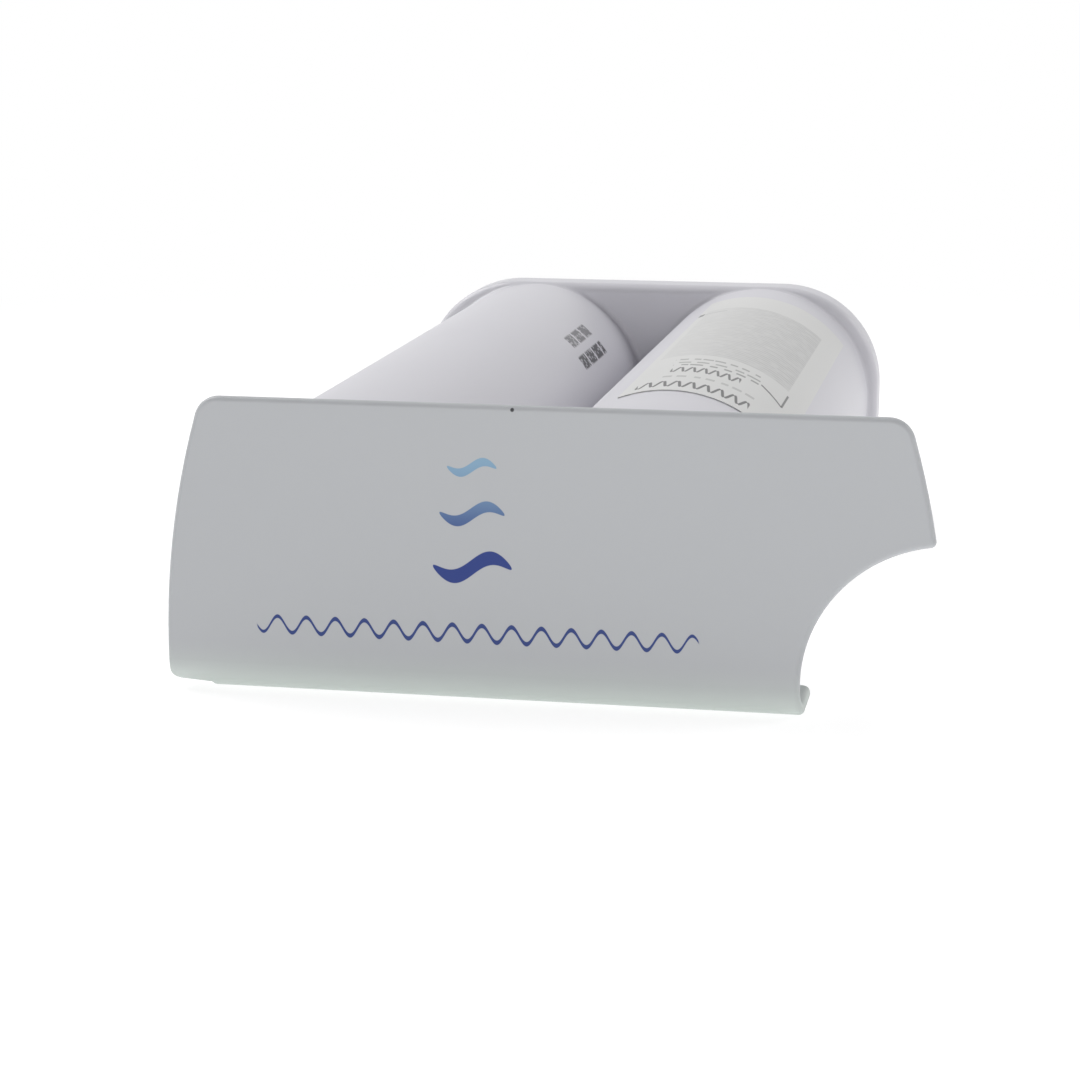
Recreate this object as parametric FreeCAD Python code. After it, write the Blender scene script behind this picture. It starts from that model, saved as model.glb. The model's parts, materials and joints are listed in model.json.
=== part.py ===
import FreeCAD
import Part

import math
import os

V = FreeCAD.Vector
along_x = V(1, 0, 0)
along_y = V(0, 1, 0)
full_turn = 360
quarter_turn = full_turn / 4
diagonal = math.sqrt(0.5)
touch = 1e-4

# Twin-tube water filter cartridge. X to the right, Y to the rear, Z up, millimetres.
# The drawing starts at the middle of the cover's front face; the last lines move
# the whole assembly so that the origin is under the middle of its footprint.

# General fits
fit_gap = 0.1
slide_gap = 0.3

# Front cover: flat panel with arched sides and a lower lip that curls back
cover_half_width = 68.9
cover_height = 53.5
cover_wall = 2.2
cover_side_radius = 148.0
cover_widest_level = 8.0
cover_top_corner = 4.5
cover_edge_land = 0.4
curl_radius = 5.5
lip_depth = 17.0
lip_left_inset = 7.0
lip_corner = 1.6
ear_low = 1.1
ear_high = 2.0
ear_corner = 2.4
rib_wall = 1.6
rib_height = 2.8
rib_side_inset = 4.0
rib_level_inset = 12.0

# Round notch that clears the release button of the appliance
notch_radius = 25.4
notch_overhang = 0.9
notch_z = 6.4
notch_tip_round = 1.0

# Twin canister: two closed tubes and the rear flange in one moulding
cartridge_x = -10.1
tube_radius = 25.7
tube_wall = 2.4
tube_gap = 2.4
tube_length = 165.0
tube_lip_gap = 0.5
dome_radius = 9.0
root_fillet = 1.1
tie_web = 4.0
flange_margin_side = 2.2
flange_margin_top = 0.4
flange_side_flat = 5.8
flange_thickness = 4.0
flange_round = 2.2

# Hoods: the upper wall of each tube carried on to the back of the cover, open below over the lip
hood_wall = 2.0
hood_gap = 0.5
hood_drop = 14.0

# Snap noses on the closed tube ends and their collars on the cover
nose_inset = 1.7
nose_wall = 2.4
nose_end_gap = 1.0
nose_chamfer = 0.8
snap_depth = 0.7
snap_width = 2.0
snap_inset = 6.0
collar_wall = 2.0
collar_end_gap = 1.5
collar_slot = 2.2
collar_slots = 4
collar_slot_turn = 45.0

# Manifold cap, welded to the flange
cap_thickness = 6.0
cap_round = 1.2
plug_wall = 2.2
plug_length = 3.0
boss_length = 9.0
boss_wall = 2.2
cross_half_length = 9.0
cross_half_height = 6.0
cross_depth = 2.0
channel_half_height = 5.0
channel_depth = 2.5
channel_land = 1.0

# Port plate with the inlet and outlet ports
plate_thickness = 3.0
plate_margin = 4.0
plate_corner = 9.0
port_pitch = 26.0
port_bore = 3.5
port_wall = 1.05
port_length = 26.5
port_foot_flare = 2.6
port_foot = 3.0
port_chamfer = 1.0
port_ring_section = 0.8
port_ring_proud = 0.2
port_ring_first = 10.0
port_ring_spacing = 6.0

# Filter blocks
flow_gap = 1.5
block_bore = 6.0
block_rear_gap = 14.5
wrap_thickness = 0.9
end_cap_wall = 3.0
end_cap_skirt = 6.0
end_cap_skirt_wall = 1.2
fin_count = 6
fin_wall = 1.6
pad_radius = 12.0
pad_thickness = 4.0
spigot_bore = 4.5
spigot_wall = 1.9
spigot_end_gap = 1.5
block_ring_section = 0.85
block_ring_inset = 4.0

# Label film on the right tube
label_front_inset = 14.4
label_rear_inset = 16.0
label_from_angle = 36.0
label_to_angle = 111.5
label_thickness = 0.15

# Places along the cartridge, front to rear
nose_front = cover_wall + nose_end_gap
hood_front = cover_wall + rib_height + hood_gap
tube_front = lip_depth + tube_lip_gap
snap_y = tube_front - snap_inset
bore_end = tube_front + tube_wall
pad_rear = bore_end + pad_thickness
block_front = pad_rear + end_cap_wall
flange_front = tube_front + tube_length
flange_rear = flange_front + flange_thickness
block_rear = flange_rear - block_rear_gap
rear_cap_face = block_rear + end_cap_wall
spigot_end = flange_rear - spigot_end_gap
block_ring_y = spigot_end - block_ring_inset
cap_rear = flange_rear + cap_thickness
plate_rear = cap_rear + plate_thickness
port_end = plate_rear + port_length
port_ring_y = {"inner": plate_rear + port_ring_first,
               "outer": plate_rear + port_ring_first + port_ring_spacing}

# Sizes across the cartridge
edge_round = (cover_wall - cover_edge_land) / 2
notch_x = cover_half_width + notch_overhang
lip_left = lip_left_inset - cover_half_width
lip_right = notch_x - notch_radius
tube_pitch = 2 * tube_radius + tube_gap
tube_x = {"left": cartridge_x - tube_pitch / 2, "right": cartridge_x + tube_pitch / 2}
bore_radius = tube_radius - tube_wall
nose_radius = tube_radius - dome_radius - nose_inset
collar_inner = nose_radius + fit_gap
flange_half_width = tube_pitch / 2 + tube_radius + flange_margin_side
flange_half_height = tube_radius + flange_margin_top
flange_corner = flange_half_height - flange_side_flat / 2
axis_z = flange_half_height
skirt_outer = bore_radius - flow_gap
skirt_inner = skirt_outer - end_cap_skirt_wall
wrap_radius = skirt_inner - fit_gap
wrap_inner = wrap_radius - wrap_thickness
block_radius = wrap_inner - fit_gap
spigot_groove = spigot_bore + spigot_wall
socket_radius = spigot_groove + 2 * block_ring_section + fit_gap
spigot_radius = socket_radius - slide_gap
port_groove = port_bore + port_wall
port_ring_radius = port_groove + 2 * port_ring_section + fit_gap / 2
port_radius = port_ring_radius - port_ring_proud
port_foot_radius = port_radius + port_foot_flare
port_x = {"inlet": cartridge_x - port_pitch / 2, "outlet": cartridge_x + port_pitch / 2}
port_z = axis_z + channel_half_height + channel_land + port_bore
plate_half_width = tube_pitch / 2 + channel_half_height + plate_margin


def rod(radius, y0, y1, x, z):
    return Part.makeCylinder(radius, y1 - y0, V(x, y0, z), along_y)


def pipe(outer, inner, y0, y1, x, z):
    return rod(outer, y0, y1, x, z).cut(rod(inner, y0, y1, x, z))


def slab(x0, x1, y0, y1, z0, z1):
    return Part.makeBox(x1 - x0, y1 - y0, z1 - z0, V(x0, y0, z0))


def straight_edges(shape, direction):
    found = []
    for edge in shape.Edges:
        if isinstance(edge.Curve, Part.Line) and edge.Curve.Direction.cross(direction).Length < touch:
            found.append(edge)
    return found


def edges_at(shape, y):
    found = []
    for edge in shape.Edges:
        box = edge.BoundBox
        if abs(box.YMin - y) < touch and abs(box.YMax - y) < touch:
            found.append(edge)
    return found


def rounded_slab(half_width, half_height, corner, y0, y1, x, z):
    box = slab(x - half_width, x + half_width, y0, y1, z - half_height, z + half_height)
    return box.makeFillet(corner, straight_edges(box, along_y))


def ring(outer_radius, section, y, x, z):
    return Part.makeTorus(outer_radius - section, section, V(x, y, z), along_y)


def flange_slab(y0, y1):
    return rounded_slab(flange_half_width, flange_half_height, flange_corner, y0, y1, cartridge_x, axis_z)


def cover_lip():
    # J-shaped section of the lower edge: down, round the curl and back along the bottom
    inner = curl_radius - cover_wall
    outer_mid = curl_radius * (1 - diagonal)
    inner_mid = curl_radius - inner * diagonal
    wall_out = V(lip_left, 0, curl_radius)
    bottom_out = V(lip_left, curl_radius, 0)
    end_low = V(lip_left, lip_depth, 0)
    end_high = V(lip_left, lip_depth, cover_wall)
    bottom_in = V(lip_left, curl_radius, cover_wall)
    wall_in = V(lip_left, cover_wall, curl_radius)
    edges = [
        Part.Arc(wall_out, V(lip_left, outer_mid, outer_mid), bottom_out).toShape(),
        Part.makeLine(bottom_out, end_low),
        Part.makeLine(end_low, end_high),
        Part.makeLine(end_high, bottom_in),
        Part.Arc(bottom_in, V(lip_left, inner_mid, inner_mid), wall_in).toShape(),
        Part.makeLine(wall_in, wall_out),
    ]
    lip = Part.Face(Part.Wire(edges)).extrude(along_x * (notch_x - notch_radius / 2 - lip_left))
    lip = lip.cut(rod(notch_radius, 0, lip_depth, notch_x, notch_z))
    corners = [e for e in edges_at(lip, lip_depth) if e.BoundBox.ZLength > cover_wall - touch]
    lip = lip.makeFillet(lip_corner, corners)
    ends = [e for e in lip.Edges if e.BoundBox.YMin > lip_depth - lip_corner - touch
            and e.BoundBox.ZLength < touch]
    return lip.makeFillet(edge_round, ends)


def cover_ear(wall):
    # the wall carried on round the curl to the left of the lip, ending in a soft corner
    ear_right = lip_left + lip_corner
    section = wall.common(slab(-cover_half_width, ear_right, 0, cover_wall, curl_radius, cover_height))
    ends = [f for f in section.Faces if f.BoundBox.ZMax < curl_radius + touch]
    curl = ends[0].revolve(V(0, curl_radius, curl_radius), along_x, quarter_turn)
    outline = Part.makePolygon([
        V(-cover_half_width, 0, curl_radius),
        V(-cover_half_width, 0, ear_high),
        V(ear_right, 0, ear_low),
        V(ear_right, 0, curl_radius),
        V(-cover_half_width, 0, curl_radius),
    ])
    block = Part.Face(outline).extrude(along_y * curl_radius)
    corner = [e for e in straight_edges(block, along_y)
              if e.BoundBox.XMax < lip_left - touch and e.BoundBox.ZMax < curl_radius - touch]
    return curl.common(block.makeFillet(ear_corner, corner))


def cover_collar(x):
    # slotted collar that snaps over the nose of one tube
    outer = collar_inner + collar_wall
    slot_start = cover_wall + rib_height
    end = tube_front - collar_end_gap
    bead_half = snap_width / 2 - fit_gap
    collar = pipe(outer, collar_inner, cover_wall, end, x, axis_z)
    bead = pipe(collar_inner + fit_gap, nose_radius - snap_depth + fit_gap,
                snap_y - bead_half, snap_y + bead_half, x, axis_z)
    collar = collar.fuse(bead)
    for index in range(collar_slots):
        slot = slab(x, x + outer, slot_start, end, axis_z - collar_slot / 2, axis_z + collar_slot / 2)
        slot.rotate(V(x, 0, axis_z), along_y, collar_slot_turn + index * full_turn / collar_slots)
        collar = collar.cut(slot)
    return collar


def cover_ribs():
    # two level ribs and three upright ones on the back of the cover
    low = rib_level_inset
    high = cover_height - rib_level_inset
    rear = cover_wall + rib_height

    def reach(z):
        arch = (z - cover_widest_level) ** 2 / (2 * cover_side_radius)
        return cover_half_width - arch - rib_side_inset
    right_low = lip_right - rib_side_inset
    ribs = slab(-reach(low), right_low, cover_wall, rear, low - rib_wall / 2, low + rib_wall / 2)
    top_rib = slab(-reach(high), reach(high), cover_wall, rear, high - rib_wall / 2, high + rib_wall / 2)
    ribs = ribs.fuse(top_rib)
    for x in (rib_wall / 2 - reach(high), cartridge_x, right_low - rib_wall / 2):
        ribs = ribs.fuse(slab(x - rib_wall / 2, x + rib_wall / 2, cover_wall, rear, low, high))
    for x in tube_x.values():
        ribs = ribs.cut(rod(collar_inner + collar_wall / 2, cover_wall, rear, x, axis_z))
    return ribs


def front_cover():
    wall = slab(-cover_half_width, cover_half_width, 0, cover_wall, 0, cover_height)
    side_centre = cover_side_radius - cover_half_width
    for x in (-side_centre, side_centre):
        wall = wall.common(rod(cover_side_radius, 0, cover_wall, x, cover_widest_level))
    upper = [e for e in straight_edges(wall, along_y) if e.BoundBox.ZMin > cover_widest_level]
    wall = wall.makeFillet(cover_top_corner, upper)
    wall = wall.cut(rod(notch_radius, 0, cover_wall, notch_x, notch_z))
    tip = [e for e in straight_edges(wall, along_y)
           if e.BoundBox.XMin > notch_x - notch_radius / 2 and e.BoundBox.ZMax < notch_z + notch_radius]
    wall = wall.makeFillet(notch_tip_round, tip)
    wall = wall.makeFillet(edge_round, edges_at(wall, 0) + edges_at(wall, cover_wall))
    wall = wall.cut(slab(-cover_half_width, cover_half_width, 0, cover_wall, 0, curl_radius))
    parts = [cover_lip(), cover_ear(wall), cover_ribs()] + [cover_collar(x) for x in tube_x.values()]
    return wall.multiFuse(parts).removeSplitter()


def tube_shell(radius, front, rear, corner, x):
    body = rod(radius, front, rear, x, axis_z)
    return body.makeFillet(corner, edges_at(body, front))


def tube_roots(body):
    # edges where the tubes run into the front of the flange
    found = []
    for edge in body.Edges:
        box = edge.BoundBox
        on_flange = box.YMin > flange_front - touch and box.YMax < flange_rear - touch
        middle = edge.valueAt((edge.FirstParameter + edge.LastParameter) / 2)
        reach = min(math.hypot(middle.x - x, middle.z - axis_z) for x in tube_x.values())
        if on_flange and abs(reach - tube_radius) < touch:
            found.append(edge)
    return found


def tube_nose(x):
    nose = rod(nose_radius, nose_front, tube_front + tube_wall / 2, x, axis_z)
    nose = nose.makeChamfer(nose_chamfer, edges_at(nose, nose_front))
    nose = nose.cut(rod(nose_radius - nose_wall, nose_front, tube_front, x, axis_z))
    return nose.cut(pipe(nose_radius, nose_radius - snap_depth,
                         snap_y - snap_width / 2, snap_y + snap_width / 2, x, axis_z))


def tube_hood(x):
    rear = tube_front + dome_radius
    hood = pipe(tube_radius, tube_radius - hood_wall, hood_front, rear, x, axis_z)
    return hood.common(slab(x - tube_radius, x + tube_radius, hood_front, rear,
                            axis_z - hood_drop, axis_z + tube_radius))


def twin_canister():
    flange = flange_slab(flange_front, flange_rear)
    flange = flange.makeFillet(flange_round, edges_at(flange, flange_front))
    tubes = [tube_shell(tube_radius, tube_front, flange_rear, dome_radius, x) for x in tube_x.values()]
    body = flange.multiFuse(tubes).removeSplitter()
    body = body.makeFillet(min(root_fillet, tube_gap / 2 - fit_gap), tube_roots(body))
    web_half = tube_pitch / 2 - bore_radius - tube_wall / 2
    web = slab(cartridge_x - web_half, cartridge_x + web_half, tube_front + dome_radius, flange_front,
               axis_z - tie_web / 2, axis_z + tie_web / 2)
    body = body.multiFuse([web] + [tube_nose(x) for x in tube_x.values()])
    body = body.multiFuse([tube_hood(x) for x in tube_x.values()])
    for x in tube_x.values():
        body = body.cut(tube_shell(bore_radius, bore_end, flange_rear, dome_radius - tube_wall, x))
    return body.removeSplitter()


def manifold_cap():
    cap = flange_slab(flange_rear, cap_rear)
    cap = cap.makeFillet(cap_round, edges_at(cap, cap_rear))
    for x in tube_x.values():
        plug_radius = bore_radius - slide_gap
        plug = pipe(plug_radius, plug_radius - plug_wall, flange_rear - plug_length, flange_rear, x, axis_z)
        boss = rod(socket_radius + boss_wall, flange_rear - boss_length, flange_rear, x, axis_z)
        cap = cap.multiFuse([plug, boss])
        cap = cap.cut(rod(socket_radius, flange_rear - boss_length, flange_rear, x, axis_z))
        cap = cap.cut(rod(spigot_bore, flange_rear, cap_rear, x, axis_z))
    # passage between the two tubes on the inlet side
    cap = cap.cut(slab(cartridge_x - cross_half_length, cartridge_x + cross_half_length,
                       flange_rear - plug_length, flange_rear + cross_depth,
                       axis_z - cross_half_height, axis_z + cross_half_height))
    # outlet channel from both sockets up to the outlet port
    channel_floor = cap_rear - channel_depth
    channel = slab(tube_x["left"], tube_x["right"], channel_floor, cap_rear,
                   axis_z - channel_half_height, axis_z + channel_half_height)
    for x in tube_x.values():
        channel = channel.fuse(rod(channel_half_height, channel_floor, cap_rear, x, axis_z))
    branch = slab(port_x["outlet"] - port_bore, port_x["outlet"] + port_bore,
                  channel_floor, cap_rear, axis_z, port_z)
    bend = rod(port_bore, channel_floor, cap_rear, port_x["outlet"], port_z)
    cap = cap.cut(channel.multiFuse([branch, bend]))
    cap = cap.cut(rod(port_bore, flange_rear - plug_length, cap_rear, port_x["inlet"], port_z))
    return cap.removeSplitter()


def port_plate():
    low = axis_z - channel_half_height - plate_margin
    high = port_z + port_foot_radius + plate_margin / 2
    plate = rounded_slab(plate_half_width, (high - low) / 2, plate_corner, cap_rear, plate_rear,
                         cartridge_x, (high + low) / 2)
    groove_half = port_ring_section + fit_gap
    for x in port_x.values():
        stem = rod(port_radius, plate_rear, port_end, x, port_z)
        stem = stem.makeChamfer(port_chamfer, edges_at(stem, port_end))
        for y in port_ring_y.values():
            stem = stem.cut(pipe(port_radius, port_groove, y - groove_half, y + groove_half, x, port_z))
        foot = rod(port_foot_radius, plate_rear, plate_rear + port_foot, x, port_z)
        plate = plate.multiFuse([stem, foot])
        plate = plate.cut(rod(port_bore, cap_rear, port_end, x, port_z))
    return plate.removeSplitter()


def end_cap(x, face, inward):
    # disc and skirt of a block end cap; inward is the direction of the block along Y
    disc_far = face + inward * end_cap_wall
    skirt_far = disc_far + inward * end_cap_skirt
    disc = rod(skirt_outer, min(face, disc_far), max(face, disc_far), x, axis_z)
    skirt = pipe(skirt_outer, skirt_inner, min(disc_far, skirt_far), max(disc_far, skirt_far), x, axis_z)
    return disc.fuse(skirt)


def block_front_cap(x):
    cap = end_cap(x, pad_rear, 1)
    overlap = end_cap_skirt_wall / 2
    for index in range(fin_count):
        fin = slab(x + skirt_outer - overlap, x + bore_radius - slide_gap, block_front,
                   block_front + end_cap_skirt, axis_z - fin_wall / 2, axis_z + fin_wall / 2)
        fin.rotate(V(x, 0, axis_z), along_y, index * full_turn / fin_count)
        cap = cap.fuse(fin)
    return cap.removeSplitter()


def block_rear_cap(x):
    groove_half = block_ring_section + fit_gap
    spigot = rod(spigot_radius, rear_cap_face, spigot_end, x, axis_z)
    spigot = spigot.cut(pipe(spigot_radius, spigot_groove,
                             block_ring_y - groove_half, block_ring_y + groove_half, x, axis_z))
    cap = end_cap(x, rear_cap_face, -1).fuse(spigot)
    return cap.cut(rod(spigot_bore, block_rear, spigot_end, x, axis_z)).removeSplitter()


def rating_label():
    x = tube_x["right"]
    inner = tube_radius + fit_gap / 2
    outer = inner + label_thickness
    front = tube_front + label_front_inset
    rear = flange_front - label_rear_inset
    middle = (label_from_angle + label_to_angle) / 2

    def on_tube(radius, angle):
        turn = math.radians(angle)
        return V(x + radius * math.cos(turn), front, axis_z + radius * math.sin(turn))

    def arc(radius, start, end):
        return Part.Arc(on_tube(radius, start), on_tube(radius, middle), on_tube(radius, end)).toShape()
    edges = [
        arc(outer, label_from_angle, label_to_angle),
        Part.makeLine(on_tube(outer, label_to_angle), on_tube(inner, label_to_angle)),
        arc(inner, label_to_angle, label_from_angle),
        Part.makeLine(on_tube(inner, label_from_angle), on_tube(outer, label_from_angle)),
    ]
    return Part.Face(Part.Wire(edges)).extrude(along_y * (rear - front))


nodes = {
    "front_cover": front_cover(),
    "twin_canister": twin_canister(),
    "manifold_cap": manifold_cap(),
    "port_plate": port_plate(),
    "rating_label": rating_label(),
}
for port, x in port_x.items():
    for place, y in port_ring_y.items():
        nodes[port + "_o_ring_" + place] = ring(port_ring_radius, port_ring_section, y, x, port_z)
for side, x in tube_x.items():
    nodes["carbon_block_" + side] = pipe(block_radius, block_bore, block_front, block_rear, x, axis_z)
    nodes["fleece_wrap_" + side] = pipe(wrap_radius, wrap_inner, block_front, block_rear, x, axis_z)
    nodes["block_front_cap_" + side] = block_front_cap(x)
    nodes["block_rear_cap_" + side] = block_rear_cap(x)
    nodes["block_o_ring_" + side] = ring(socket_radius - fit_gap / 2, block_ring_section,
                                         block_ring_y, x, axis_z)
    nodes["take_up_pad_" + side] = rod(pad_radius, bore_end, pad_rear, x, axis_z)

footprint = Part.makeCompound(list(nodes.values())).optimalBoundingBox(False, False)
to_origin = V(-footprint.Center.x, -footprint.Center.y, -footprint.ZMin)
print("size", footprint.XLength, footprint.YLength, footprint.ZLength, "move", to_origin)
os.makedirs("parts", exist_ok=True)
for name, shape in nodes.items():
    shape.translate(to_origin)
    print(name, shape.isValid(), len(shape.Solids), round(shape.Volume))
    shape.exportStep("parts/" + name + ".step")
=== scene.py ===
import json
import math

import bmesh
import bpy
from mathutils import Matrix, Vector

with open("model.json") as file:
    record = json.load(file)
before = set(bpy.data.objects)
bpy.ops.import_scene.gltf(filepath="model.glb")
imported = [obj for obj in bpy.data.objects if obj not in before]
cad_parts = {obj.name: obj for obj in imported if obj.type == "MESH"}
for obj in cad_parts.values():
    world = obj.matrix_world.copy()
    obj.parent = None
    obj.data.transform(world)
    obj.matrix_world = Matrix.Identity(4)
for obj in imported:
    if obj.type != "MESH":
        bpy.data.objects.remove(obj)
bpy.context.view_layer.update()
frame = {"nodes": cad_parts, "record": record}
cadNodes = frame["nodes"]
mm = 0.001


def nodeBox(name):  # lowest and highest corner of a CAD node in millimetres
    corners = [Vector(corner) / mm for corner in cadNodes[name].bound_box]
    return [Vector([pick(corner[axis] for corner in corners) for axis in range(3)]) for pick in (min, max)]


coverFront = nodeBox("front_cover")[0].y
tubeAxis = {side: sum(nodeBox("carbon_block_" + side), Vector()) / 2 for side in ("left", "right")}
labelRadius = nodeBox("rating_label")[1].z - tubeAxis["right"].z
print("frame loaded:", len(cadNodes), "nodes")


class Wire:  # a socket that can be used in sums: each operator adds one Math node
    def __init__(self, nodes, socket):
        self.nodes = nodes
        self.socket = socket

    def math(self, operation, first, second=0.0):
        return self.nodes.add("ShaderNodeMath", {"operation": operation}, {0: first, 1: second})

    def __add__(self, other):
        return self.math("ADD", self, other)

    def __radd__(self, other):
        return self.math("ADD", other, self)

    def __sub__(self, other):
        return self.math("SUBTRACT", self, other)

    def __rsub__(self, other):
        return self.math("SUBTRACT", other, self)

    def __mul__(self, other):
        return self.math("MULTIPLY", self, other)

    def __rmul__(self, other):
        return self.math("MULTIPLY", other, self)

    def __truediv__(self, other):
        return self.math("DIVIDE", self, other)

    def __pow__(self, other):
        return self.math("POWER", self, other)

    def __abs__(self):
        return self.math("ABSOLUTE", self)


class Nodes:  # adds nodes to one tree
    def __init__(self, tree):
        self.tree = tree

    def add(self, kind, settings=None, inputs=None, output=0):
        made = self.tree.nodes.new(kind)
        for key, value in (settings or {}).items():
            setattr(made, key, value)
        for key, value in (inputs or {}).items():
            self.feed(made.inputs[key], value)
        return Wire(self, made.outputs[output])

    def feed(self, socket, value):
        if isinstance(value, Wire):
            self.tree.links.new(value.socket, socket)
        else:
            socket.default_value = value

    def coordinates(self):
        return self.add("ShaderNodeTexCoord", output="Object")

    def axes(self):  # x, y and z of the object in millimetres
        place = self.coordinates()
        return [self.add("ShaderNodeSeparateXYZ", inputs={0: place}, output=axis) / mm for axis in range(3)]

    def noise(self, scale, detail, roughness=0.5):
        return self.add("ShaderNodeTexNoise", inputs={
            "Vector": self.coordinates(), "Scale": scale, "Detail": detail, "Roughness": roughness})

    def cloud(self, look):  # slow change over the surface, about zero
        return self.noise(look["cloudScale"], look["cloudDetail"]) - 0.5

    def random(self, *places):  # one random number for each whole step of the places
        steps = {axis: place.math("FLOOR", place) for axis, place in enumerate(places)}
        corner = self.add("ShaderNodeCombineXYZ", inputs=steps)
        return self.add("ShaderNodeTexWhiteNoise", inputs={"Vector": corner})

    def turnAbout(self, axis, x, z):  # angle round a tube in degrees, from +X towards the top
        rise = z - axis.z
        return rise.math("ARCTAN2", rise, x - axis.x) * math.degrees(1)

    def step(self, value, low, high):  # 0 below low, 1 above high, smooth between
        return self.add("ShaderNodeMapRange", {"interpolation_type": "SMOOTHSTEP"},
                        {"Value": value, "From Min": low, "From Max": high})

    def band(self, value, low, high, soft):  # 1 between low and high
        return self.step(value, low - soft, low + soft) * (1 - self.step(value, high - soft, high + soft))

    def mix(self, share, first, second):  # sockets 6 and 7 and output 2 are the colours
        return self.add("ShaderNodeMix", {"data_type": "RGBA"}, {0: share, 6: first, 7: second}, output=2)

    def shaded(self, tone, shade):  # a colour times a number
        start = tone if isinstance(tone, Wire) else tone[:3]
        return self.add("ShaderNodeVectorMath", {"operation": "SCALE"}, {0: start, 3: shade})

    def bump(self, height, depth, strength):
        return self.add("ShaderNodeBump", inputs={"Height": height, "Distance": depth, "Strength": strength})

    def seenDirectly(self):  # 1 for camera, glossy and transmission rays
        camera, glossy, passing = [self.add("ShaderNodeLightPath", output="Is %s Ray" % kind)
                                   for kind in ("Camera", "Glossy", "Transmission")]
        total = camera + glossy + passing
        return total.math("MINIMUM", total, 1.0)


def newFinish(name, constants):
    material = bpy.data.materials.new(name)
    material.use_nodes = True
    shader = material.node_tree.nodes["Principled BSDF"]
    for socket, value in constants.items():
        shader.inputs[socket].default_value = value
    return material, Nodes(material.node_tree), shader


def rgb(red, green, blue):  # screen colour 0..255 to linear
    parts = []
    for part in (red, green, blue):
        share = part / 255
        parts.append(share / 12.92 if share <= 0.04045 else ((share + 0.055) / 1.055) ** 2.4)
    return (*parts, 1.0)


def dress(material, names):
    for name in names:
        slots = cadNodes[name].data.materials
        slots.clear()
        slots.append(material)


# front cover: satin panel with its print, and painted bounce light along the bottom
coverPlastic = {
    "tone": rgb(177, 179, 182),
    "paintedBounceTone": rgb(190, 197, 193),  # painted bounce light from the floor: paler and greener towards the bottom, where the lip curls under
    # heights in millimetres over which the painted bounce light fades out; it reaches up the face to lighten
    # the lower cover
    "paintedBounceLow": 0.5,
    "paintedBounceTop": 10.0,
    "cloudScale": 34.0,
    "cloudDetail": 4.0,
    "mottle": 0.02,
    "grainScale": 2400.0,
    "grainDetail": 2.0,
    "grainDepth": 0.02 * mm,
    "grainStrength": 0.35,
    "roughness": 0.46,
    "roughnessVary": 0.1,
    "fixed": {"IOR": 1.47, "Specular IOR Level": 0.4},
}
coverPrint = {
    "faceFrom": 0.1,  # the print ends this far behind the front face
    "faceTo": 0.3,
    "softStroke": 0.07,
    "softEnd": 0.02,
    "gloss": 0.08,
}
waveEmblem = {  # three stacked waves, narrow and pale above, wide and dark below
    "middle": -11.85,
    "waves": [  # level, half width, swing, half stroke
        (42.6, 4.4, 1.0, 0.85),
        (34.4, 5.8, 1.35, 1.1),
        (24.9, 7.05, 1.75, 1.4),
    ],
    "turns": 1.0,
    "taper": 0.5,
    "paleLevel": 45.0,
    "darkLevel": 27.0,
    "paleInk": rgb(126, 160, 186),
    "darkInk": rgb(14, 46, 122),
}
rippleLine = {
    "left": -51.2,
    "right": 28.2,
    "level": 13.0,
    "swing": 1.45,
    "halfStroke": 0.42,
    "turns": 15,
    "taper": 0.12,
    "ink": rgb(28, 52, 118),
}
dustSpeck = {
    "x": -4.7,
    "z": 52.85,
    "radius": 0.42,
    "core": 0.6,  # share of the radius that is fully dark
    "backFrom": 0.8,  # stuck to the front half of the edge
    "backTo": 1.0,
    "tone": rgb(52, 52, 56),
}


def strokeMask(nodes, x, z, style, middle, level, halfWidth, swing, halfStroke):
    across = (x - middle) / halfWidth
    turn = across * (math.pi * style["turns"])
    crest = turn.math("SINE", turn) * swing + level
    inside = 1 - across * across
    half = inside.math("MAXIMUM", inside, 0.0) ** style["taper"] * halfStroke
    soft = coverPrint["softStroke"]
    stroke = 1 - nodes.step(abs(z - crest) - half, -soft, soft)
    return stroke * nodes.step(inside, 0.0, coverPrint["softEnd"])


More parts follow.
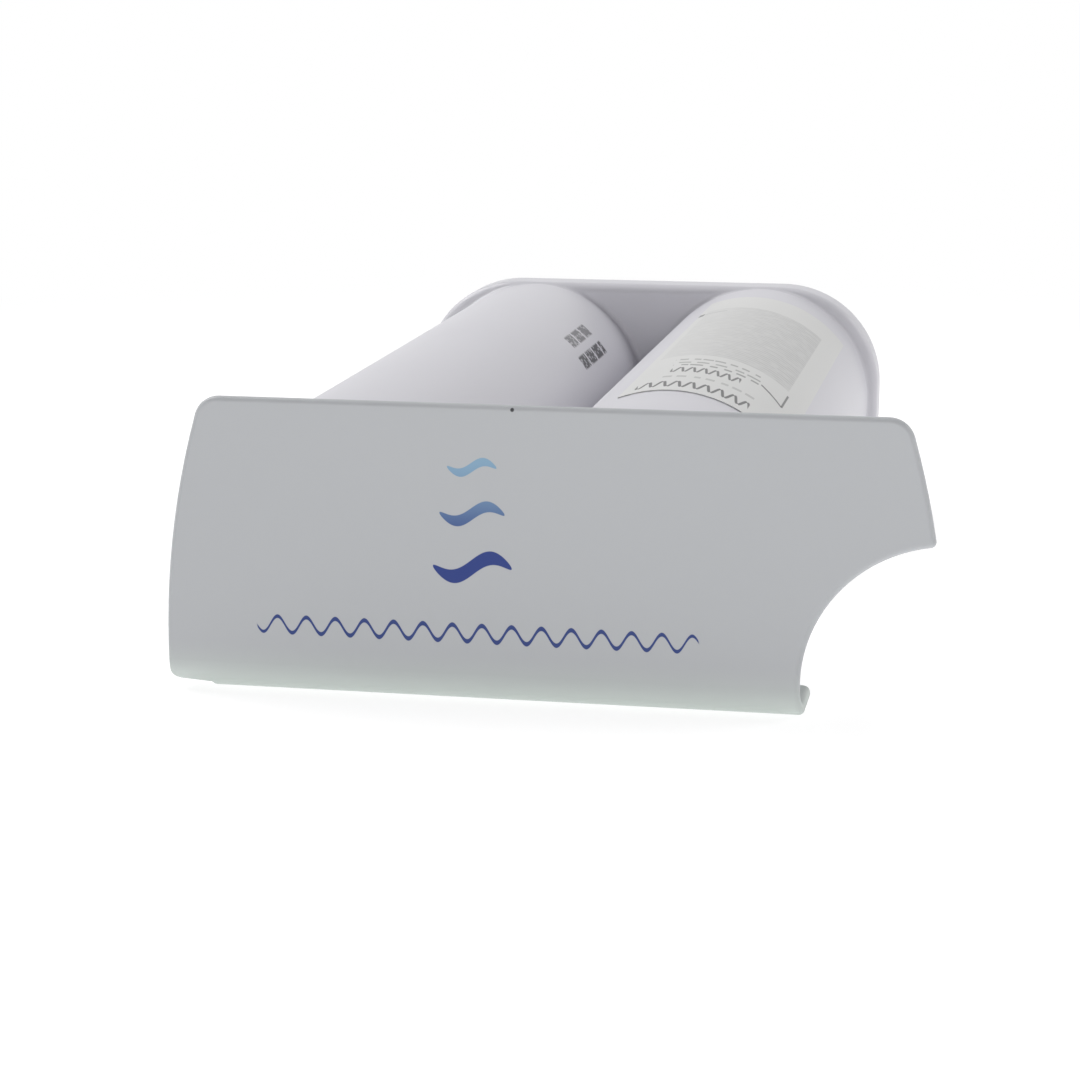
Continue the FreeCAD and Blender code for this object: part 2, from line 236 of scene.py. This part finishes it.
def makeCoverFinish():
    material, nodes, shader = newFinish("coverPlastic", coverPlastic["fixed"])
    x, y, z = nodes.axes()
    depth = y - coverFront
    cloud = nodes.cloud(coverPlastic)
    # painted bounce light: the cover is paler and greener towards the bottom
    paintedBounce = 1 - nodes.step(z, coverPlastic["paintedBounceLow"], coverPlastic["paintedBounceTop"])
    plain = nodes.mix(paintedBounce, coverPlastic["tone"], coverPlastic["paintedBounceTone"])
    plain = nodes.shaded(plain, 1 + cloud * coverPlastic["mottle"])
    onFace = 1 - nodes.step(depth, coverPrint["faceFrom"], coverPrint["faceTo"])
    emblemInk = nodes.mix(nodes.step(z, waveEmblem["darkLevel"], waveEmblem["paleLevel"]),
                          waveEmblem["darkInk"], waveEmblem["paleInk"])
    emblem = 0.0
    for level, halfWidth, swing, halfStroke in waveEmblem["waves"]:
        emblem = strokeMask(nodes, x, z, waveEmblem, waveEmblem["middle"], level, halfWidth,
                            swing, halfStroke) + emblem
    halfLine = (rippleLine["right"] - rippleLine["left"]) / 2
    ripple = strokeMask(nodes, x, z, rippleLine, rippleLine["left"] + halfLine, rippleLine["level"], halfLine,
                        rippleLine["swing"], rippleLine["halfStroke"])
    speck = ((x - dustSpeck["x"]) ** 2 + (z - dustSpeck["z"]) ** 2) ** 0.5
    speck = 1 - nodes.step(speck, dustSpeck["radius"] * dustSpeck["core"], dustSpeck["radius"])
    speck = speck * (1 - nodes.step(depth, dustSpeck["backFrom"], dustSpeck["backTo"]))
    printed = nodes.mix(emblem * onFace, plain, emblemInk)
    printed = nodes.mix(ripple * onFace, printed, rippleLine["ink"])
    printed = nodes.mix(speck, printed, dustSpeck["tone"])
    nodes.feed(shader.inputs["Base Color"], printed)
    roughness = coverPlastic["roughness"] + cloud * coverPlastic["roughnessVary"]
    nodes.feed(shader.inputs["Roughness"], roughness - (emblem + ripple) * onFace * coverPrint["gloss"])
    grain = nodes.noise(coverPlastic["grainScale"], coverPlastic["grainDetail"])
    grain = nodes.bump(grain, coverPlastic["grainDepth"], coverPlastic["grainStrength"])
    nodes.feed(shader.inputs["Normal"], grain)
    return material


# canister and manifold: white moulding
bodyPlastic = {
    "tone": rgb(206, 205, 211),
    "cloudScale": 28.0,
    "cloudDetail": 4.0,
    "mottle": 0.02,
    "grainScale": 1500.0,
    "grainDetail": 3.0,
    "grainDepth": 0.02 * mm,
    "grainStrength": 0.3,
    "roughness": 0.4,
    "roughnessVary": 0.12,
    "fixed": {"IOR": 1.48, "Specular IOR Level": 0.4},
}
lotMarks = {  # two rows of ink-jet dots on the left tube, in blocks
    "rows": [(48.2, 21.0, 44.2, 0.8), (36.2, 17.5, 44.5, 1.0)],  # angle, from y, to y, strength
    "halfTurn": 3.6,
    "softTurn": 0.6,
    "softEnd": 0.5,
    "pitch": 8.0,
    "blockFrom": 0.82,  # shares of the pitch where a block fades out
    "blockTo": 0.9,
    "dot": 0.9,
    "dotTurn": 1.2,
    "filled": 0.7,  # share of the dots that are dark
    "softFill": 0.05,
    "paleDot": 0.5,
    "ink": rgb(48, 47, 54),
}


def addLotMarks(nodes, base):
    x, y, z = nodes.axes()
    angle = nodes.turnAbout(tubeAxis["left"], x, z)
    marks = 0.0
    for turn, start, end, strength in lotMarks["rows"]:
        low, high = turn - lotMarks["halfTurn"], turn + lotMarks["halfTurn"]
        cell = (y - start) / lotMarks["pitch"]
        block = 1 - nodes.step(cell.math("FRACT", cell), lotMarks["blockFrom"], lotMarks["blockTo"])
        dots = nodes.random(y / lotMarks["dot"], angle / lotMarks["dotTurn"])
        dots = 1 - nodes.step(dots, lotMarks["filled"], lotMarks["filled"] + lotMarks["softFill"])
        dots = lotMarks["paleDot"] + dots * (1 - lotMarks["paleDot"])
        row = nodes.band(angle, low, high, lotMarks["softTurn"])
        row = row * nodes.band(y, start, end, lotMarks["softEnd"])
        marks = row * block * dots * strength + marks
    return nodes.mix(marks, base, lotMarks["ink"])


def makeBodyFinish(name, marked):
    material, nodes, shader = newFinish(name, bodyPlastic["fixed"])
    cloud = nodes.cloud(bodyPlastic)
    base = nodes.shaded(bodyPlastic["tone"], 1 + cloud * bodyPlastic["mottle"])
    if marked:
        base = addLotMarks(nodes, base)
    nodes.feed(shader.inputs["Base Color"], base)
    nodes.feed(shader.inputs["Roughness"], bodyPlastic["roughness"] + cloud * bodyPlastic["roughnessVary"])
    grain = nodes.noise(bodyPlastic["grainScale"], bodyPlastic["grainDetail"])
    grain = nodes.bump(grain, bodyPlastic["grainDepth"], bodyPlastic["grainStrength"])
    nodes.feed(shader.inputs["Normal"], grain)
    return material


# label film on the right tube, printed with ripples, dashes, a bracket and a fine grey block
labelFilm = {  # places along y in millimetres, places round the tube in degrees
    "tone": rgb(213, 213, 212),
    "ink": rgb(34, 34, 38),
    "greyInk": rgb(120, 120, 122),
    "cloudScale": 60.0,
    "cloudDetail": 3.0,
    "mottle": 0.02,
    "roughness": 0.34,
    "roughnessVary": 0.1,
    "greyRoughness": 0.1,
    "wrinkleScale": 90.0,
    "wrinkleDetail": 2.0,
    "wrinkleDepth": 0.05 * mm,
    "wrinkleStrength": 0.15,
    "fixed": {"IOR": 1.5, "Specular IOR Level": 0.12},
    "softEnd": 0.3,
    "ripples": [  # from y, to y, lowest angle, highest angle, pitch in degrees, half stroke, strength
        (-75.0, -69.2, 58.0, 106.0, 6.0, 0.34, 0.9),
        (-57.2, -52.2, 67.0, 97.0, 5.0, 0.3, 0.85),
    ],
    "softRipple": 0.1,
    "dashes": [  # from y, to y, lowest angle, highest angle, cell in degrees, strength
        (-64.0, -62.2, 58.0, 100.0, 6.0, 0.3),
        (-49.4, -48.0, 60.0, 98.0, 6.3, 0.6),
        (-46.2, -44.9, 60.0, 99.0, 7.8, 0.5),
        (-42.2, -40.9, 61.0, 99.0, 5.4, 0.5),
    ],
    "shortestDash": 0.45,  # shares of the cell
    "dashVary": 0.45,
    "softDash": 0.03,
    "softRow": 0.15,
    "cellsApart": 40,  # keeps the random lengths of the rows apart
    "bars": [  # from y, to y, lowest angle, highest angle, strength
        (30.5, 34.5, 108.6, 111.3, 0.75),
        (32.0, 33.2, 97.0, 108.6, 0.2),
    ],
    "softBar": 0.4,
    "softBarEnd": 0.2,
}
labelBracket = {
    "from": -53.0,
    "to": -40.0,
    "turn": 46.6,
    "halfTurn": 0.5,
    "footTurn": 59.0,
    "footSlope": 0.43,
    "halfFoot": 0.6,
    "soft": 0.2,
    "strength": 0.8,
}
labelBlock = {
    "from": -36.0,
    "to": 37.0,
    "low": 47.5,
    "high": 108.0,
    "softRow": 0.5,
    "softEnd": 0.4,
    "rowPitch": 1.9,
    "rowFrom": 0.15,  # shares of the row pitch
    "rowTo": 0.7,
    "softLine": 0.12,
    "speckle": 430.0,
    "speckleDetail": 2.0,
    "speckleFrom": 0.3,
    "speckleTo": 0.6,
    "plainShare": 0.45,
    "paleFrom": 60.0,  # the fine print pales towards the crown
    "paleTo": 115.0,
    "pale": 0.6,
    "grey": 0.34,
}


def labelRipples(nodes, y, angle):
    rows = 0.0
    for start, end, low, high, pitch, half, strength in labelFilm["ripples"]:
        turn = (angle - low) * (math.tau / pitch)
        swing = (end - start) / 2 - half
        crest = turn.math("SINE", turn) * swing + (start + end) / 2
        slope = turn.math("COSINE", turn) * (swing * math.tau / (math.radians(pitch) * labelRadius))
        away = abs(y - crest) / (slope * slope + 1) ** 0.5  # square to the stroke
        stroke = 1 - nodes.step(away, half - labelFilm["softRipple"], half + labelFilm["softRipple"])
        rows = stroke * nodes.band(angle, low, high, labelFilm["softEnd"]) * strength + rows
    return rows


def labelDashes(nodes, y, angle):
    rows = 0.0
    soft = labelFilm["softDash"]
    for index, (start, end, low, high, cell, strength) in enumerate(labelFilm["dashes"]):
        count = (angle - low) / cell
        length = nodes.random(count + labelFilm["cellsApart"] * index)
        length = length * labelFilm["dashVary"] + labelFilm["shortestDash"]
        dash = 1 - nodes.step(count.math("FRACT", count) - length, -soft, soft)
        row = nodes.band(y, start, end, labelFilm["softRow"])
        row = row * nodes.band(angle, low, high, labelFilm["softEnd"])
        rows = row * dash * strength + rows
    for start, end, low, high, strength in labelFilm["bars"]:
        bar = nodes.band(y, start, end, labelFilm["softBar"])
        rows = bar * nodes.band(angle, low, high, labelFilm["softBarEnd"]) * strength + rows
    return rows


def bracketMask(nodes, y, angle):
    turn, start, soft = [labelBracket[key] for key in ("turn", "from", "soft")]
    upright = nodes.band(angle, turn - labelBracket["halfTurn"], turn + labelBracket["halfTurn"], soft)
    upright = upright * nodes.band(y, start, labelBracket["to"], soft)
    foot = y - (angle - turn) * labelBracket["footSlope"]
    foot = nodes.band(foot, start - labelBracket["halfFoot"], start + labelBracket["halfFoot"], soft)
    foot = foot * nodes.band(angle, turn, labelBracket["footTurn"], soft)
    return (foot + upright) * labelBracket["strength"]


def blockMask(nodes, y, angle):
    block = nodes.band(y, labelBlock["from"], labelBlock["to"], labelBlock["softRow"])
    block = block * nodes.band(angle, labelBlock["low"], labelBlock["high"], labelBlock["softEnd"])
    line = y / labelBlock["rowPitch"]
    line = line.math("FRACT", line)
    line = nodes.band(line, labelBlock["rowFrom"], labelBlock["rowTo"], labelBlock["softLine"])
    speckle = nodes.noise(labelBlock["speckle"], labelBlock["speckleDetail"])
    fine = line * nodes.step(speckle, labelBlock["speckleFrom"], labelBlock["speckleTo"])
    fine = labelBlock["plainShare"] + fine * (1 - labelBlock["plainShare"])
    fade = 1 - nodes.step(angle, labelBlock["paleFrom"], labelBlock["paleTo"]) * labelBlock["pale"]
    return block * fine * fade * labelBlock["grey"]


def makeLabelFinish():
    material, nodes, shader = newFinish("labelFilm", labelFilm["fixed"])
    x, y, z = nodes.axes()
    angle = nodes.turnAbout(tubeAxis["right"], x, z)
    cloud = nodes.cloud(labelFilm)
    block = blockMask(nodes, y, angle)
    printed = labelRipples(nodes, y, angle) + labelDashes(nodes, y, angle) + bracketMask(nodes, y, angle)
    film = nodes.shaded(labelFilm["tone"], 1 + cloud * labelFilm["mottle"])
    film = nodes.mix(block, film, labelFilm["greyInk"])
    film = nodes.mix(printed.math("MINIMUM", printed, 1.0), film, labelFilm["ink"])
    nodes.feed(shader.inputs["Base Color"], film)
    roughness = labelFilm["roughness"] + cloud * labelFilm["roughnessVary"] + block * labelFilm["greyRoughness"]
    nodes.feed(shader.inputs["Roughness"], roughness)
    wrinkle = nodes.noise(labelFilm["wrinkleScale"], labelFilm["wrinkleDetail"])
    wrinkle = nodes.bump(wrinkle, labelFilm["wrinkleDepth"], labelFilm["wrinkleStrength"])
    nodes.feed(shader.inputs["Normal"], wrinkle)
    return material


# seals and the filter parts inside
innerParts = {  # tone, how far it varies, grain scale, grain depth in millimetres, roughness
    "sealRubber": (rgb(30, 30, 32), 0.25, 900.0, 0.03, 0.5),
    "pressedCarbon": (rgb(27, 27, 29), 0.8, 700.0, 0.3, 0.85),
    "fleece": (rgb(226, 226, 222), 0.12, 520.0, 0.25, 0.9),
    "capPlastic": (rgb(220, 220, 220), 0.03, 1500.0, 0.02, 0.45),
    "padFoam": (rgb(122, 122, 126), 0.2, 1100.0, 0.2, 0.8),
}
innerSurface = {  # what the inner parts share
    "cloudScale": 55.0,
    "cloudDetail": 3.0,
    "cloudShare": 0.5,
    "grainDetail": 3.0,
    "grainRoughness": 0.6,
    "grainStrength": 0.5,
    "roughnessVary": 0.1,
    "fixed": {"Specular IOR Level": 0.4},
}
slotFinish = {"seal_rubber": "sealRubber", "carbon": "pressedCarbon", "fleece": "fleece",
              "cap_plastic": "capPlastic", "pad_foam": "padFoam"}


def makeInnerFinish(name):
    tone, vary, grainScale, grainDepth, roughness = innerParts[name]
    material, nodes, shader = newFinish(name, innerSurface["fixed"])
    grain = nodes.noise(grainScale, innerSurface["grainDetail"], innerSurface["grainRoughness"])
    cloud = nodes.cloud(innerSurface)
    shade = 1 + (grain - 0.5) * vary + cloud * (vary * innerSurface["cloudShare"])
    nodes.feed(shader.inputs["Base Color"], nodes.shaded(tone, shade))
    nodes.feed(shader.inputs["Roughness"], roughness + cloud * innerSurface["roughnessVary"])
    nodes.feed(shader.inputs["Normal"], nodes.bump(grain, grainDepth * mm, innerSurface["grainStrength"]))
    return material


dress(makeCoverFinish(), ["front_cover"])
dress(makeBodyFinish("canisterPlastic", True), ["twin_canister"])
dress(makeBodyFinish("manifoldPlastic", False), ["manifold_cap", "port_plate"])
dress(makeLabelFinish(), ["rating_label"])
print("casing dressed")
for slot, name in slotFinish.items():
    wearing = [part["node"] for part in frame["record"]["subparts"] if part["material_slot"] == slot]
    dress(makeInnerFinish(name), wearing)
    print("finish", name, "on", len(wearing), "nodes")

# stage
stageLook = {
    "floorSize": 30.0,
    "floorTone": (0.9, 0.9, 0.9, 1.0),
    "keepShadow": 0.35,  # share of the floor that shows its own light near the object
    "clearFrom": 0.2,
    "clearTo": 0.5,
    "tableGlow": 0.56,  # light from the table itself, seen by the object only
    "backdrop": 1.0,
    "skyLight": 0.1,
    "softLights": {  # side of the object, height, width in degrees, power
        "leftLight": (-115.0, 48.0, 35.0, 2.0),
        "rightLight": (114.0, 32.0, 30.0, 0.95),
        "topLight": (150.0, 70.0, 30.0, 0.35),
        "frontLight": (0.0, 2.0, 20.0, 1.4),
    },
}
photoCamera = {
    "place": (85.15, -549.56, 129.24),
    "pitch": 12.492,
    "yaw": 10.967,
    "lens": 88.33,  # for a square picture
    "sensor": 36.0,
    "nearest": 0.01,
    "farthest": 100.0,
}


def makeFloor():
    mesh = bpy.data.meshes.new("floor")
    shape = bmesh.new()
    bmesh.ops.create_grid(shape, x_segments=1, y_segments=1, size=stageLook["floorSize"] / 2)
    shape.to_mesh(mesh)
    shape.free()
    floor = bpy.data.objects.new("floor", mesh)
    bpy.context.scene.collection.objects.link(floor)
    material = bpy.data.materials.new("floor")
    material.use_nodes = True
    nodes = Nodes(material.node_tree)
    material.node_tree.nodes.remove(material.node_tree.nodes["Principled BSDF"])
    x, y, z = nodes.axes()
    away = (x * x + y * y) ** 0.5
    clear = nodes.step(away, stageLook["clearFrom"] / mm, stageLook["clearTo"] / mm)
    white = nodes.seenDirectly() * (1 - stageLook["keepShadow"] * (1 - clear))
    diffuse = nodes.add("ShaderNodeBsdfDiffuse", inputs={"Color": stageLook["floorTone"]})
    glow = nodes.add("ShaderNodeEmission", inputs={"Strength": stageLook["tableGlow"]})
    table = nodes.add("ShaderNodeAddShader", inputs={0: diffuse, 1: glow})
    backdrop = nodes.add("ShaderNodeEmission", inputs={"Strength": stageLook["backdrop"]})
    surface = nodes.add("ShaderNodeMixShader", inputs={0: white, 1: table, 2: backdrop})
    nodes.feed(material.node_tree.nodes["Material Output"].inputs["Surface"], surface)
    mesh.materials.append(material)


def makeWorld():
    world = bpy.data.worlds.new("studio")
    bpy.context.scene.world = world
    world.use_nodes = True
    nodes = Nodes(world.node_tree)
    backdrop = world.node_tree.nodes["Background"]
    backdrop.inputs["Color"].default_value = (1, 1, 1, 1)
    strength = stageLook["skyLight"] + nodes.seenDirectly() * (stageLook["backdrop"] - stageLook["skyLight"])
    nodes.feed(backdrop.inputs["Strength"], strength)


def makeLights():
    for name, (side, height, width, power) in stageLook["softLights"].items():
        light = bpy.data.lights.new(name, "SUN")
        light.energy = power
        light.angle = math.radians(width)
        lamp = bpy.data.objects.new(name, light)
        lamp.rotation_euler = (math.radians(90 - height), 0, math.radians(side))
        bpy.context.scene.collection.objects.link(lamp)


def makeCamera():
    lens = bpy.data.cameras.new("photoCamera")
    lens.lens = photoCamera["lens"]
    lens.sensor_width = photoCamera["sensor"]
    lens.clip_start = photoCamera["nearest"]
    lens.clip_end = photoCamera["farthest"]
    camera = bpy.data.objects.new("photoCamera", lens)
    camera.location = Vector(photoCamera["place"]) * mm
    camera.rotation_euler = (math.radians(90 - photoCamera["pitch"]), 0, math.radians(photoCamera["yaw"]))
    bpy.context.scene.collection.objects.link(camera)
    bpy.context.scene.camera = camera


makeFloor()
makeWorld()
makeLights()
makeCamera()
bpy.context.scene.view_settings.view_transform = "Standard"
print("stage set")
